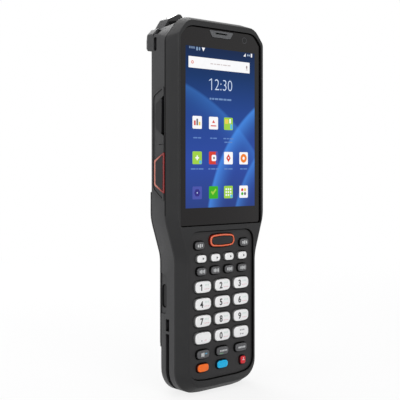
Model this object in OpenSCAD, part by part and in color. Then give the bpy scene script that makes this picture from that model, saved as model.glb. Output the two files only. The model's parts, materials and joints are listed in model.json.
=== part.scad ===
// Handheld data terminal with a touch screen, a 29-key keypad, a scanner head and a drop-out battery.
// X runs across, Y from front to back and Z along the length. The terminal stands on its lower end.

/* [Display] */
// Width of the lit screen
display_w = 52.3; // [44:0.1:64]
// Height of the lit screen
display_h = 87.1; // [72:0.1:106]
// Black glass border beside the screen
glass_side = 4.2; // [3.5:0.1:7]
// Black glass border above the screen
glass_forehead = 10.85; // [9.8:0.05:16]
// Black glass border below the screen
glass_chin = 9.75; // [8:0.05:14]
// Thickness of the cover glass
glass_t = 1.6; // [1.2:0.1:2]

/* [Keypad] */
// Width of a number key
key_w = 11.7; // [10:0.1:14]
// Height of a number key
key_h = 6.8; // [5.8:0.1:7.8]
// Distance between the columns of number keys
key_pitch_x = 14.35; // [13.6:0.05:18]
// Distance between the rows of number keys
key_pitch_z = 9.2; // [8.4:0.1:12]
// Width of a small key
small_key_w = 6.9; // [5.8:0.1:8.2]
// Height of a small key
small_key_h = 4.4; // [3.7:0.1:5.2]
// Distance between the columns of small keys
small_pitch_x = 10.25; // [9.4:0.05:12.4]
// How far a key can be pressed
key_travel = 0.7; // [0.5:0.1:0.9]
// How far the key tops stand above the front rim
key_proud = 0.4; // [0.2:0.1:1]
// Keypad plate beside the outer number keys
panel_side = 4.1; // [3:0.05:6]

/* [Housing] */
// Width of the bevel round the front edge
bevel_w = 3.4; // [2.6:0.1:4.4]
// Depth of the bevel, down to the seam
bevel_depth = 6.3; // [5.6:0.1:8]
// Depth of the body from the front rim to its back
body_depth = 26.3; // [24:0.1:32]
// Depth at which the back bevel starts
side_depth = 18.2; // [18:0.1:21]
// Wall of the moulded shells
wall = 2; // [1.6:0.1:2.4]
// Wall of the grip, which carries the accessory groove
grip_wall = 4; // [3.6:0.1:5]
// Radius of the lower corners
foot_r = 13; // [9:0.5:16]
// Length of the slope between the grip and the screen end
waist_len = 21; // [16:0.5:28]

/* [Scanner head] */
// How far the scanner head stands above the front housing
head_rise = 3.3; // [2.8:0.1:5]
// How far the head stands out behind the body
head_step = 3.2; // [2.2:0.1:6]
// Width of the scan window
window_w = 29.5; // [24:0.5:32]
// Size of the scan window from front to back
window_d = 6; // [4.5:0.1:6.4]

/* [Battery] */
// Length of the battery cover
battery_len = 85; // [72:0.5:92]
// Width of the battery block inside the grip
battery_w = 40; // [32:0.5:42]
// How far the battery stands out of the back
battery_step = 1.3; // [0.8:0.1:5]

/* [Side keys] */
// Length of the side scan keys' long edge
side_key_len = 19; // [16:0.1:23]
// Length of the volume key, measured like the side scan keys'
volume_key_len = 20.4; // [18:0.1:24]
// Width of a side key across the wall
side_key_w = 5.8; // [5:0.1:7]
// How far a side key can be pressed
side_travel = 0.6; // [0.4:0.1:0.8]
// How far the side keys stand out of the wall
side_proud = 0.6; // [0.4:0.1:1]

/* [Fits] */
// Gap round a part that moves
slide_gap = 0.25; // [0.2:0.05:0.3]
// Gap round a part that is fixed in its seat
seat_gap = 0.15; // [0.1:0.05:0.2]
// Radial clearance of the port cover's hinge pin
pin_gap = 0.05; // [0.03:0.01:0.08]

/* [Hidden] */
KEY_NAMES = ["function_key_left", "scan_key", "function_key_right",
    "soft_key_1", "soft_key_2", "soft_key_3", "soft_key_4",
    "control_key_1", "control_key_2", "control_key_3", "control_key_4",
    "key_1", "key_2", "key_3", "key_4", "key_5", "key_6", "key_7", "key_8", "key_9",
    "key_point", "key_0", "key_shift",
    "menu_key", "home_key", "back_key", "orange_key", "blue_key", "power_key"];

$fn = 48;
over = 1;                 // how far a cutting tool runs past the face it cuts
corner_steps = 4;         // straight stretches in each rounded corner of an outline
foot_steps = 8;           // the same in the large corners of the lower end

// Depths, measured from the front rim
seat_d = 2.6;             // ledge that carries the glass and the keypad plate
glass_d = seat_d - glass_t;
panel_d = 1;              // face of the keypad plate
floor_t = 1.4;            // thickness of that ledge
floor_d = seat_d + floor_t;
display_t = 2.2;
display_back = seat_d + display_t;
board_d = display_back + 0.2;
board_t = 1;
gasket_t = 0.4;
gasket_inset = 0.5;
rear_d = bevel_depth + gasket_t;
side_wall = wall + 0.4;
back_bevel = 7;           // how far the back bevel runs in from the side
bay_floor_d = rear_d + 1.6;
bay_floor_t = 1.2;
bay_d = bay_floor_d + bay_floor_t;

// Half widths
glass_lip = 2;
panel_lip = 1.3;
glass_hw = display_w / 2 + glass_side;
body_hw = glass_hw + glass_lip + bevel_w;
panel_hw = key_pitch_x + key_w / 2 + panel_side;
grip_hw = panel_hw + panel_lip + bevel_w;

// Keypad rows, as heights above the base
panel_bottom = bevel_w + 3.9;
colour_row = panel_bottom + 7.15;
lower_row = colour_row + 7.35;
first_number_row = lower_row + 5.4 + key_h / 2;
top_number_row = first_number_row + 3 * key_pitch_z;
control_row = top_number_row + key_h / 2 + 2.8 + small_key_h / 2;
soft_row = control_row + small_key_h + 2.5;
function_row = soft_row + small_key_h + 2.8;
scan_row = function_row + 2.1;
scan_key_w = 16;
scan_key_h = 5;
scan_ring_w = 1.3;
panel_top = scan_row + 5.6;

// Heights of the screen end
glass_bottom = panel_top + 2.9;
display_bottom = glass_bottom + glass_chin;
display_top = display_bottom + display_h;
glass_top = display_top + glass_forehead;
top_rim = 3.25;
top_share = 0.6;          // how much of an inset the upper edge takes
chamfer_share = 0.38;     // how much of an inset the upper corners take
body_top = glass_top + top_rim + bevel_w * top_share;
hip_z = glass_bottom + 3.7;
waist_z = hip_z - waist_len;
foot_drop = 1.4;          // how much the lower edge rises towards its corners

// The upper corners are chamfered. Towards the back the chamfer rises at the sides and grows shallower.
shoulder_z = body_top - 12.7;
crown_x = body_hw - 10.55;
shoulder_rise = 4.4;
crown_run = 11.8;
top_rise = 1;
glass_chamfer = 3.5;      // how far the glass's chamfer lies inside the housing's

// Scanner head
head_top = body_top + head_rise;
head_front = 16.8;
head_bevel_d = 21.9;
head_bevel = 5.8;
head_depth = body_depth + head_step;
head_foot = shoulder_z - 5.5;
head_ear_x = body_hw - 3.1;
head_ear_z = shoulder_z + 6.3;
head_brow_x = body_hw - 9.1;
head_brow_z = head_top - 4;
head_crown_x = 18;

// The whole terminal is centred between its foremost and rearmost faces
front_y = -(head_depth - key_proud) / 2;

// Battery
battery_depth = body_depth + battery_step;
battery_foot = 24.8;
battery_top = battery_foot + battery_len;
block_end = 5;            // battery cover beyond each end of the block
battery_out = 20;

// Side keys
side_ring_w = 1.2;
side_seam = rear_d + side_ring_w + 0.3; // front edge of the side keys
side_scan_z = display_bottom + 18.9;
volume_z = side_scan_z + 30.4;
side_taper = 3.6;         // how much shorter each end of a side key is at its narrow edge
volume_shade = 0.9;       // how far the volume key's front edge lies behind that of the side scan keys
slot_d = rear_d + 0.5;    // front edge of the slot in front of the volume key
side_chamber = 2.4;       // depth of the chamber behind a side key
side_flange = 0.7;
side_flange_t = 0.7;
side_flange_gap = 0.6;    // room that lets the volume key rock
rib_w = 1;
rib_proud = 0.4;
surround_margin = 5.6;

// Port cover
cover_t = 1.6;
knuckle_r = 1.1;
pin_r = 0.5;
hinge_d = side_seam + 6;
port_h = 17;
knuckle_len = 12;
pin_len = 20;
hinge_x = body_hw - knuckle_r - 0.05;

silver = "silver";
charcoal = [0.2, 0.2, 0.21];
side_grey = [0.29, 0.29, 0.3];
black = [0.05, 0.05, 0.05];
orange = [0.95, 0.36, 0.1];
key_white = [0.93, 0.93, 0.92];
key_grey = [0.4, 0.4, 0.41];

function unit(v) = v / norm(v);
function wrap(a) = a > 180 ? a - 360 : a < -180 ? a + 360 : a;
function flat(p) = [p[0], p[1]];

// Points of the arc that rounds corner b between its neighbours a and c
function corner_arc(a, b, c, r, steps) =
    let (u = unit(a - b), w = unit(c - b), half = acos(u * w) / 2,
        start = b + u * r / tan(half), finish = b + w * r / tan(half),
        centre = b + unit(u + w) * r / sin(half),
        from = atan2(start.y - centre.y, start.x - centre.x),
        sweep = wrap(atan2(finish.y - centre.y, finish.x - centre.x) - from))
    [for (k = [0:steps]) let (s = from + sweep * k / steps) centre + r * [cos(s), sin(s)]];

// A closed outline from corners given as [x, z, radius, steps], anticlockwise as seen from the front
function rounded(v) = [for (i = [0:len(v) - 1])
    each corner_arc(flat(v[(i + len(v) - 1) % len(v)]), flat(v[i]), flat(v[(i + 1) % len(v)]), v[i][2],
        is_undef(v[i][3]) ? corner_steps : v[i][3])];

// Adds the mirror image of a right half that runs from bottom to top
function both_sides(right) = concat(right,
    [for (i = [len(right) - 1:-1:0]) [-right[i][0], right[i][1], right[i][2], right[i][3]]]);

// Ends and angle of the chamfer, from t = 0 at the seam to t = 1 where the back bevel starts
function shoulder(t) = [body_hw, shoulder_z + t * shoulder_rise];
function crown(t) = [crown_x - t * crown_run, body_top + t * top_rise];
function chamfer_angle(t) = atan2(crown(t).y - shoulder(t).y, shoulder(t).x - crown(t).x);

// Ends of the chamfer once the side, the top and the chamfer itself have moved inwards
function chamfer_z(t, side, inset) =
    shoulder(t).y + (side * sin(chamfer_angle(t)) - inset) / cos(chamfer_angle(t));
function chamfer_x(t, drop, inset) =
    crown(t).x + (drop * cos(chamfer_angle(t)) - inset) / sin(chamfer_angle(t));

// The terminal's outline, shrunk by e, with the shares of e that the chamfer and the upper edge take
function body_outline(e, t = 0, corner = chamfer_share, top = top_share) = rounded(both_sides([
    [grip_hw - foot_r - 4, e, 20, foot_steps],
    [grip_hw - e, foot_drop + e, foot_r - 0.8 * e, foot_steps],
    [grip_hw - e, waist_z, 22 + e],
    [body_hw - e, hip_z, 26 - e],
    [body_hw - e, chamfer_z(t, e, e * corner), 5 - e / 2],
    [chamfer_x(t, e * top, e * corner), crown(t).y - e * top, 12 - e]]));

// The scanner head's outline, shrunk by e. At the front, where lean is 1, its brows stand further in.
function head_outline(e, lean = 0) = rounded(both_sides([
    [body_hw - e, head_foot + e / 3, 1],
    [body_hw - e, head_ear_z - 3.2 - e / 4, 2],
    [head_ear_x - 0.8 * e, head_ear_z - e / 2, 1],
    [head_ear_x - 2.3 - 0.75 * e - 2.6 * lean, head_ear_z + 0.4 - e / 2 + 1.2 * lean, 0.5],
    [head_brow_x - 0.7 * e - 1.7 * lean, head_brow_z - 0.55 * e + 0.6 * lean, 1.5],
    [head_crown_x - e / 2, head_top - e / 2, 3]]));

// The cover glass's outline, shrunk by e
function glass_outline(e) = rounded(both_sides([
    [glass_hw - e, glass_bottom + e, 1.5],
    [glass_hw - e, chamfer_z(0, glass_lip + bevel_w + e, glass_chamfer + e), 3],
    [chamfer_x(0, body_top - glass_top + e, glass_chamfer + e), glass_top - e, 9]]));

// A rectangle with rounded corners, centred on x and z
function rectangle(x, z, w, h, r) =
    let (a = w / 2, b = h / 2)
    rounded([[x + a, z - b, r], [x + a, z + b, r], [x - a, z + b, r], [x - a, z - b, r]]);

// Extrudes a front-view outline from depth a to depth b
module slab(a, b) {
    translate([0, front_y + b, 0])
        rotate([90, 0, 0])
        linear_extrude(b - a)
        children();
}

// Extrudes a side-view outline, drawn as depth and height, between two values of x
module side_slab(a, b) {
    translate([a, front_y, 0])
        rotate([90, 0, 90])
        linear_extrude(b - a)
        children();
}

// A box from its lowest to its highest corner, with y as a depth
module block(low, high) {
    translate([low.x, front_y + low.y, low.z])
        cube(high - low);
}

// Joins outlines of equal point counts, each at its own depth, into one skin
module loft(rings, depths) {
    n = len(rings[0]);
    last = len(rings) - 1;
    polyhedron(
        points = [for (k = [0:last]) for (p = rings[k]) [p.x, front_y + depths[k], p.y]],
        faces = concat(
            [[for (i = [n - 1:-1:0]) i]],
            [[for (i = [0:n - 1]) last * n + i]],
            [for (k = [0:last - 1]) for (i = [0:n - 1]) let (j = (i + 1) % n)
                each [[k * n + i, k * n + j, (k + 1) * n + j], [k * n + i, (k + 1) * n + j, (k + 1) * n + i]]]));
}

// Lofts the outlines, which run past both ends, and trims the ends flat at depths a and b
module trimmed_loft(rings, depths, a, b) {
    intersection() {
        loft(rings, depths);
        slab(a, b)
            square(3 * head_top, center = true);
    }
}

// Keeps what lies between two heights
module between(z0, z1) {
    intersection() {
        children();
        block([-body_hw - over, -over, z0], [body_hw + over, head_depth + over, z1]);
    }
}

module both_x() {
    children();
    mirror([1, 0, 0])
        children();
}

// ---- Keypad ----

// Place, size, corner radius and colour of each key
function number_key(column, row, colour) =
    [column * key_pitch_x, first_number_row + row * key_pitch_z, key_w, key_h, 2.4, colour];
function small_key(column, z, colour) =
    [(column - 1.5) * small_pitch_x, z, small_key_w, small_key_h, 1.6, colour];
function lower_key(column, z, w, h, colour) = [column * key_pitch_x, z, w, h, 1.8, colour];
function function_key(side) = [side * 16.85, function_row, 6.9, 4.5, 1.7, key_grey];
KEYS = concat(
    [function_key(-1), [0, scan_row, scan_key_w, scan_key_h, 2.1, black], function_key(1)],
    [for (i = [0:3]) small_key(i, soft_row, key_white)],
    [for (i = [0:3]) small_key(i, control_row, key_grey)],
    [for (row = [3:-1:0]) for (column = [-1:1]) number_key(column, row, key_white)],
    [for (column = [-1:1]) lower_key(column, lower_row, 9, 4.9, key_grey)],
    [lower_key(-1, colour_row, 8.2, 4.6, [0.96, 0.5, 0.12]),
     lower_key(0, colour_row, 8.2, 4.6, [0.1, 0.65, 0.9]),
     [key_pitch_x + 1.5, colour_row, 4.1, 4.6, 1.1, [0.8, 0.12, 0.15]]]);

panel_ledge = 1.4;        // width of the ledge that carries the keypad plate
key_flange = 0.45;        // how far a key's foot reaches under the plate
key_foot_d = seat_d + 0.1;
key_foot_t = 0.7;
key_well_d = key_foot_d + key_foot_t + key_travel + 0.1;

// Outline of key k, shrunk by e. Its upper and lower edges bow outwards in proportion to its width.
bow_share = 0.04;
bow_round = 2.8;
function key_outline(k, e) =
    let (x = k[0], z = k[1], w = k[2] - 2 * e, top = k[3] / 2 - e,
        a = w / 2, b = top - bow_share * w, r = min(k[4] - 0.6 * e, b), long_r = bow_round * w)
    rounded([[x, z - top, long_r, 2], [x + a, z - b, r], [x + a, z + b, r],
        [x, z + top, long_r, 2], [x - a, z + b, r], [x - a, z - b, r]]);

module key_shape(k, grow) {
    polygon(key_outline(k, -grow));
}

// A key cap with a crowned top, standing on a foot that the plate keeps in
module keypad_key(k) {
    dome = [1.3, 0.55, 0.15, 0];
    rise = [0, 0.12, 0.45, 1];
    color(k[5]) {
        loft([for (e = dome) key_outline(k, e)], [for (h = rise) -key_proud + h]);
        slab(-key_proud + rise[3], key_foot_d)
            key_shape(k, 0);
        slab(key_foot_d, key_foot_d + key_foot_t)
            key_shape(k, key_flange);
    }
}

// Orange frame round the main scan key
module scan_key_ring() {
    k = KEYS[1];
    color(orange)
        difference() {
            loft([for (e = [0.45, 0.15, 0]) key_outline(k, e - scan_ring_w)],
                [-key_proud + 0.2, -key_proud + 0.5, seat_d]);
            slab(-over, seat_d + over)
                key_shape(k, slide_gap);
        }
}

module keypad_panel() {
    color(charcoal)
        slab(panel_d, seat_d)
            difference() {
                polygon(panel_outline(seat_gap));
                for (i = [0:len(KEYS) - 1])
                    key_shape(KEYS[i], i == 1 ? scan_ring_w + seat_gap : slide_gap);
            }
}

function panel_outline(e) = rounded(both_sides([
    [grip_hw - foot_r - 4, panel_bottom + e, 20],
    [panel_hw - e, foot_drop + panel_bottom + e, foot_r - 0.8 * (panel_bottom + e)],
    [panel_hw - e, panel_top - e, 6]]));

// Silicone mat with a well under each key
module keypad_membrane() {
    color("dimgray")
        difference() {
            slab(key_foot_d + 0.3, board_d)
                polygon(panel_outline(panel_ledge + seat_gap));
            for (k = KEYS)
                slab(0, key_well_d)
                    key_shape(k, key_flange + slide_gap);
        }
}

// ---- Front ----

module front_housing() {
    color(charcoal)
        difference() {
            trimmed_loft([for (e = [bevel_w + 1, bevel_w, 0.3, 0, 0]) body_outline(e)],
                [-0.3, 0.3, bevel_depth - 0.6, bevel_depth - 0.3, bevel_depth + over], 0, bevel_depth);
            slab(-over, seat_d)
                polygon(glass_outline(-seat_gap));
            slab(-over, seat_d)
                polygon(panel_outline(0));
            slab(seat_d - 0.1, floor_d + over)
                polygon(panel_outline(panel_ledge));
            slab(seat_d - 0.1, floor_d + over)
                polygon(display_outline(0.3));
            slab(floor_d, bevel_depth + over)
                polygon(body_outline(bevel_w + 0.4));
            front_camera_body(seat_gap);
            slab(seat_d - 0.1, floor_d + over)
                translate([0, earpiece_z])
                square([10, 2], center = true);
        }
    color(charcoal)
        for (p = FRONT_SCREWS)
            translate([p.x, front_y + floor_d - 0.2, p.y])
                rotate([-90, 0, 0])
                difference() {
                    cylinder(h = bevel_depth - floor_d + 0.2, r = boss_r);
                    translate([0, 0, 0.8])
                        cylinder(h = bevel_depth, r = screw_r);
                }
}

display_frame = 1.6;
display_tab = 4;
function display_outline(e) = rounded([
    [display_w / 2 + display_frame + e, display_bottom - display_tab - e, 0.6],
    [display_w / 2 + display_frame + e, display_top + display_frame + e, 0.6],
    [-display_w / 2 - display_frame - e, display_top + display_frame + e, 0.6],
    [-display_w / 2 - display_frame - e, display_bottom - display_tab - e, 0.6]]);

module display_module() {
    color("midnightblue")
        slab(seat_d, display_back)
            polygon(display_outline(0));
}

earpiece_h = 3.8;
earpiece_z = glass_top - 0.9 - earpiece_h / 2;
function earpiece_outline(e) = rounded(both_sides([
    [6.8 + e, earpiece_z - earpiece_h / 2 - e, 1.2],
    [9.1 + e, earpiece_z + earpiece_h / 2 + e, 0.5]]));

module cover_glass() {
    color([0.06, 0.07, 0.09])
        difference() {
            trimmed_loft([glass_outline(0.7), glass_outline(0), glass_outline(0)],
                [glass_d - 0.3, glass_d + 0.3, seat_d + over], glass_d, seat_d);
            slab(0, seat_d + over)
                polygon(earpiece_outline(seat_gap));
        }
}

module earpiece_grille() {
    color("gray")
        difference() {
            slab(glass_d - 0.2, seat_d)
                polygon(earpiece_outline(0));
            slab(0, seat_d + over)
                translate([0, earpiece_z + 0.4])
                square([9, 0.8], center = true);
        }
}

camera_x = 18;
camera_z = earpiece_z - 1.4;
module front_camera_body(gap) {
    translate([camera_x, front_y + seat_d - gap, camera_z])
        rotate([-90, 0, 0])
        cylinder(h = 3 + gap, r = 2.2 + gap);
}

module front_camera() {
    color(black)
        front_camera_body(0);
}

// ---- Boards ----

module main_board() {
    edge = 7.4;
    color("darkgreen")
        difference() {
            slab(board_d, board_d + board_t)
                polygon(body_outline(edge));
            for (p = FRONT_SCREWS)
                translate([p.x, front_y, p.y])
                    rotate([-90, 0, 0])
                    cylinder(h = 2 * bevel_depth, r = boss_r + 0.3);
            for (p = BOARD_SCREWS)
                translate([p.x, front_y, p.y])
                    rotate([-90, 0, 0])
                    cylinder(h = 2 * bevel_depth, r = screw_r);
            front_camera_body(seat_gap);
        }
}

// ---- Rear ----

boss_r = 2.6;
screw_r = 0.8;
screw_head_r = 1.6;
screw_head_t = 1.2;
screw_seat_d = side_depth + 1;
screw_x = display_w / 2 + display_frame + 0.3 + boss_r;
FRONT_SCREWS = [for (s = [-1, 1]) for (z = [(side_scan_z + volume_z) / 2, shoulder_z - 15]) [s * screw_x, z]];
BOARD_SCREWS = [for (s = [-1, 1]) [s * (grip_hw - 11), 15]];

// Outline of a side key with its front edge at a given depth, as depth and height, grown by g
function side_outline(z, len, front, g) =
    let (long = len / 2 + (side_seam - front) * side_taper / side_key_w, short = len / 2 - side_taper,
        back = side_seam + side_key_w)
    rounded([
        [front - g, z - long - g * 1.4, 0.5],
        [back + g, z - short - g * 0.6, 1.2],
        [back + g, z + short + g * 0.6, 1.2],
        [front - g, z + long + g * 1.4, 0.5]]);
function side_key_outline(g) = side_outline(side_scan_z, side_key_len, side_seam, g);
function volume_outline(front, g) = side_outline(volume_z, volume_key_len, front + g, g);

// Outline of the raised rib round the side keys
function surround_outline(g) =
    let (front = rear_d + 0.6 - g, back = side_seam + side_key_w + 3 + g,
        low = side_scan_z - side_key_len / 2, high = volume_z + volume_key_len / 2)
    rounded([
        [front, low - surround_margin - g, 0.6],
        [back, low - g, 3],
        [back, high + 1.6 + g, 3],
        [front, high + surround_margin + g, 0.6]]);

// Outline of the port cover, as depth and height, grown by g
function port_outline(g) = rounded([
    [side_seam - g, volume_z - port_h / 2 - g, 1.5],
    [hinge_d + knuckle_r + g, volume_z - port_h / 2 - g, 0.3],
    [hinge_d + knuckle_r + g, volume_z + port_h / 2 + g, 0.3],
    [side_seam - g, volume_z + port_h / 2 + g, 1.5]]);

module rear_shell() {
    insets = [0.6, 0, 0, 0.5, back_bevel - 0.6, back_bevel + 1.4];
    turns = [0, 0, 1, 1, 1, 1];
    trimmed_loft([for (i = [0:5]) body_outline(insets[i], turns[i])],
        [rear_d - 0.4, rear_d + 0.4, side_depth - 0.5, side_depth + 0.4, body_depth - 0.4, body_depth + 0.4],
        rear_d, body_depth);
    head_body();
}

module head_body() {
    insets = [0, 0, 0, head_bevel - 0.6, head_bevel + 1.4];
    leans = [1, 1, 0, 0, 0];
    trimmed_loft([for (i = [0:4]) head_outline(insets[i], leans[i])],
        [head_front - over, head_front + 0.6, head_bevel_d, head_depth - 0.5, head_depth + 0.5],
        head_front, head_depth);
}

hood_t = 1.6;
module rear_housing() {
    color(side_grey)
        difference() {
            union() {
                difference() {
                    rear_shell();
                    rear_cavities();
                    battery_bay();
                }
                screw_bosses();
                port_block();
                surround_ribs();
            }
            side_openings();
            accessory_grooves();
            strap_slots();
            release_holes();
            hood_seat(seat_gap);
            battery_contact_pins();
            rear_camera_body(seat_gap);
            speaker_slots();
            contact_recess();
            screw_holes();
        }
}

// The inside of the shell, shrunk further by e
roof = 4.6;               // solid stretch above the hollow, which carries the scan window
module shell_core(e) {
    insets = [side_wall, side_wall, side_wall, back_bevel + 1.6];
    turns = [0, 0, 1, 1];
    trimmed_loft([for (i = [0:3]) body_outline(insets[i] + e, turns[i], 1, 1)],
        [-over, rear_d + 0.4, side_depth - 0.6, body_depth - wall + 0.6], 0, body_depth - wall);
}

// Space for the boards in front of the bay, and the hollow behind the screen
module rear_cavities() {
    slab(0, bay_floor_d)
        polygon(body_outline(grip_wall));
    between(battery_top + wall, body_top - roof)
        shell_core(0);
    slab(0, side_depth)
        polygon(rectangle(0, 14, 30, 13, 2));
}

module battery_bay() {
    block([-body_hw - over, side_depth, battery_foot], [body_hw + over, head_depth, battery_top]);
    block([-battery_w / 2 - slide_gap, bay_d, battery_foot + block_end - slide_gap],
        [battery_w / 2 + slide_gap, head_depth, battery_top - block_end + slide_gap]);
}

module surround_ribs() {
    both_x()
        side_slab(body_hw - 1, body_hw + rib_proud)
            difference() {
                polygon(surround_outline(0));
                polygon(surround_outline(-rib_w));
            }
}

// The bosses end inside the shell's wall
module screw_bosses() {
    intersection() {
        for (p = concat(FRONT_SCREWS, BOARD_SCREWS))
            translate([p.x, front_y + rear_d, p.y])
                rotate([-90, 0, 0])
                cylinder(h = body_depth - rear_d, r = boss_r);
        shell_core(0.8 - side_wall);
    }
}

module screw_holes() {
    for (p = concat(FRONT_SCREWS, BOARD_SCREWS))
        translate([p.x, front_y, p.y])
            rotate([-90, 0, 0]) {
                cylinder(h = head_depth, r = screw_r + seat_gap);
                translate([0, 0, screw_seat_d])
                    cylinder(h = head_depth, r = screw_head_r + seat_gap);
            }
}

module port_block() {
    intersection() {
        block([body_hw - 11, rear_d, volume_z - 12], [body_hw - 1, side_depth, volume_z + 12]);
        slab(rear_d, side_depth)
            polygon(body_outline(1));
    }
}

socket_h = 9.1;
socket_d = 3.3;
socket_mid = side_seam + 3.4;
module port_socket_body(gap) {
    block([body_hw - 9, socket_mid - socket_d / 2 - gap, volume_z - socket_h / 2 - gap],
        [body_hw - cover_t - 0.4 + gap, socket_mid + socket_d / 2 + gap, volume_z + socket_h / 2 + gap]);
}

module port_socket() {
    shell = 0.35;
    color(silver)
        difference() {
            port_socket_body(0);
            difference() {
                block([body_hw - 8, socket_mid - socket_d / 2 + shell, volume_z - socket_h / 2 + shell],
                    [body_hw, socket_mid + socket_d / 2 - shell, volume_z + socket_h / 2 - shell]);
                block([body_hw - 8 - over, socket_mid - 0.35, volume_z - 3.3],
                    [body_hw - 3, socket_mid + 0.35, volume_z + 3.3]);
            }
        }
}

// Holes for the side keys, with a chamber inside the wall for each key's flange, and a mark between them
module side_openings() {
    mark_z = (side_scan_z + volume_z) / 2;
    both_x() {
        block([body_hw - 0.4, side_seam - 0.8, mark_z - 0.25], [body_hw + over, side_seam + 3.4, mark_z + 0.25]);
        side_slab(body_hw - side_wall, body_hw + over)
            polygon(side_key_outline(side_ring_w + seat_gap));
        side_slab(body_hw - side_wall - side_chamber, body_hw - side_wall)
            polygon(side_key_outline(side_flange + slide_gap));
    }
    mirror([1, 0, 0]) {
        side_slab(body_hw - side_wall, body_hw + over)
            polygon(volume_outline(slot_d, slide_gap));
        side_slab(body_hw - side_wall - side_chamber, body_hw - side_wall)
            polygon(volume_outline(slot_d, side_flange + slide_gap));
    }
    side_slab(body_hw - cover_t - 0.3, body_hw + over)
        polygon(port_outline(slide_gap));
    translate([hinge_x, front_y + hinge_d, volume_z - knuckle_len / 2 - slide_gap])
        cylinder(h = knuckle_len + 2 * slide_gap, r = knuckle_r + slide_gap);
    translate([hinge_x, front_y + hinge_d, volume_z - pin_len / 2])
        cylinder(h = pin_len, r = pin_r + pin_gap);
    port_socket_body(0);
}

module port_cover() {
    lift = 0.3;
    color(black)
        difference() {
            union() {
                difference() {
                    side_slab(body_hw - cover_t, body_hw)
                        polygon(port_outline(0));
                    block([0, hinge_d - knuckle_r - lift, volume_z - side_key_len],
                        [body_hw + over, hinge_d + side_key_w, volume_z + side_key_len]);
                }
                translate([hinge_x, front_y + hinge_d, volume_z - knuckle_len / 2])
                    cylinder(h = knuckle_len, r = knuckle_r);
                block([hinge_x - 0.5, hinge_d - knuckle_r - 2 * lift, volume_z - knuckle_len / 2],
                    [hinge_x + 0.5, hinge_d, volume_z + knuckle_len / 2]);
            }
            translate([hinge_x, front_y + hinge_d, volume_z - side_key_len])
                cylinder(h = 2 * side_key_len, r = pin_r + pin_gap);
        }
}

module port_cover_pin() {
    color(silver)
        translate([hinge_x, front_y + hinge_d, volume_z - pin_len / 2])
            cylinder(h = pin_len, r = pin_r);
}

// Black frame of the head: a front wall with a raised left end, and a cheek on each side of the scan window
window_front = head_front + hood_t + 1.2;
hood_back = window_front + window_d + 1.4;
hood_h = 6;
hood_cheek = 5;           // frame beside the window
hood_flare = 4.8;         // how much wider the front wall is on each side
window_drop = 3.4;        // top of the window below the top of the head
window_sill = head_top - window_drop + 0.4;
cheek_drop = 1.4;         // the right cheek is lower than the left one
module hood_seat(gap) {
    narrow = window_w / 2 + hood_cheek + gap;
    wide = narrow + hood_flare;
    turn = head_front + hood_t + gap;
    translate([0, front_y, head_top - hood_h - gap])
        linear_extrude(hood_h + gap + over)
        polygon([[-wide, head_front - gap], [wide, head_front - gap], [wide, turn], [narrow, turn + hood_flare],
            [narrow, hood_back + gap], [-narrow, hood_back + gap], [-narrow, turn + hood_flare], [-wide, turn]]);
}

module scan_hood() {
    color(black)
        difference() {
            intersection() {
                hood_seat(0);
                head_body();
            }
            block([-window_w / 2, window_front, 0], [window_w / 2, window_front + window_d, head_top + over]);
            slab(head_front - over, window_front + over)
                polygon([[-window_w / 2, window_sill], [window_w / 2, window_sill], [window_w / 2, head_top + over],
                    [-window_w / 2 - 2.4, head_top + over], [-window_w / 2, head_top - 1.2]]);
            block([window_w / 2 - over, 0, head_top - cheek_drop], [body_hw, hood_back + over, head_top + over]);
        }
}

module scan_window() {
    color([0.35, 0.05, 0.08])
        block([-window_w / 2 + seat_gap, window_front + seat_gap, head_top - window_drop - 1.8],
            [window_w / 2 - seat_gap, window_front + window_d - seat_gap, head_top - window_drop]);
}

module scan_engine() {
    color("darkslategray")
        block([-11, body_depth - wall - 12, body_top - back_bevel - 18],
            [11, body_depth - wall, body_top - back_bevel - 3.5]);
}

// Groove for a boot or a cradle rail, round each lower corner
groove_top = 40.8;
groove_d = 11.3;
groove_w = 2.8;
groove_depth = 2.2;
module accessory_grooves() {
    bridge_z = 32.8;
    bridge_h = 1.5;
    both_x()
        difference() {
            intersection() {
                slab(groove_d, groove_d + groove_w)
                    difference() {
                        polygon(body_outline(-over));
                        polygon(body_outline(groove_depth));
                    }
                block([grip_hw - 13.5, 0, -over], [body_hw, head_depth, groove_top]);
            }
            block([0, 0, bridge_z], [body_hw, head_depth, bridge_z + bridge_h]);
        }
}

// Two pockets that meet behind a bar at each upper corner, for a hand strap
strap_d = 13.7;
strap_w = 2.5;
strap_depth = 4;
module strap_slots() {
    t = (strap_d + strap_w / 2 - rear_d) / (side_depth - rear_d);
    corner = shoulder(t);
    both_x() {
        side_slab(body_hw - strap_depth, body_hw + over)
            polygon(rectangle(strap_d + strap_w / 2, corner.y - 5.5, strap_w, 7.4, 1.1));
        translate([corner.x, front_y + strap_d, corner.y])
            rotate([0, chamfer_angle(t) - 90, 0])
            translate([-strap_depth, 0, 0.8])
            cube([strap_depth + over, strap_w, 3.6]);
    }
}

release_z = battery_foot + 28.3;
release_d = 15.8;
release_h = 12.8;
release_w = 4;
scoop_depth = 0.6;        // shallow recess round each release
function release_outline(e) = rounded([
    [release_d - release_w / 2 + e, release_z - release_h / 2 + e, release_w / 2 - e - 0.05],
    [release_d + release_w / 2 - e, release_z - release_h / 2 + e, release_w / 2 - e - 0.05],
    [release_d + release_w / 2 - e, release_z + release_h / 2 - e, release_w / 2 - e - 0.05],
    [release_d - release_w / 2 + e, release_z + release_h / 2 - e, release_w / 2 - e - 0.05]]);

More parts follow.
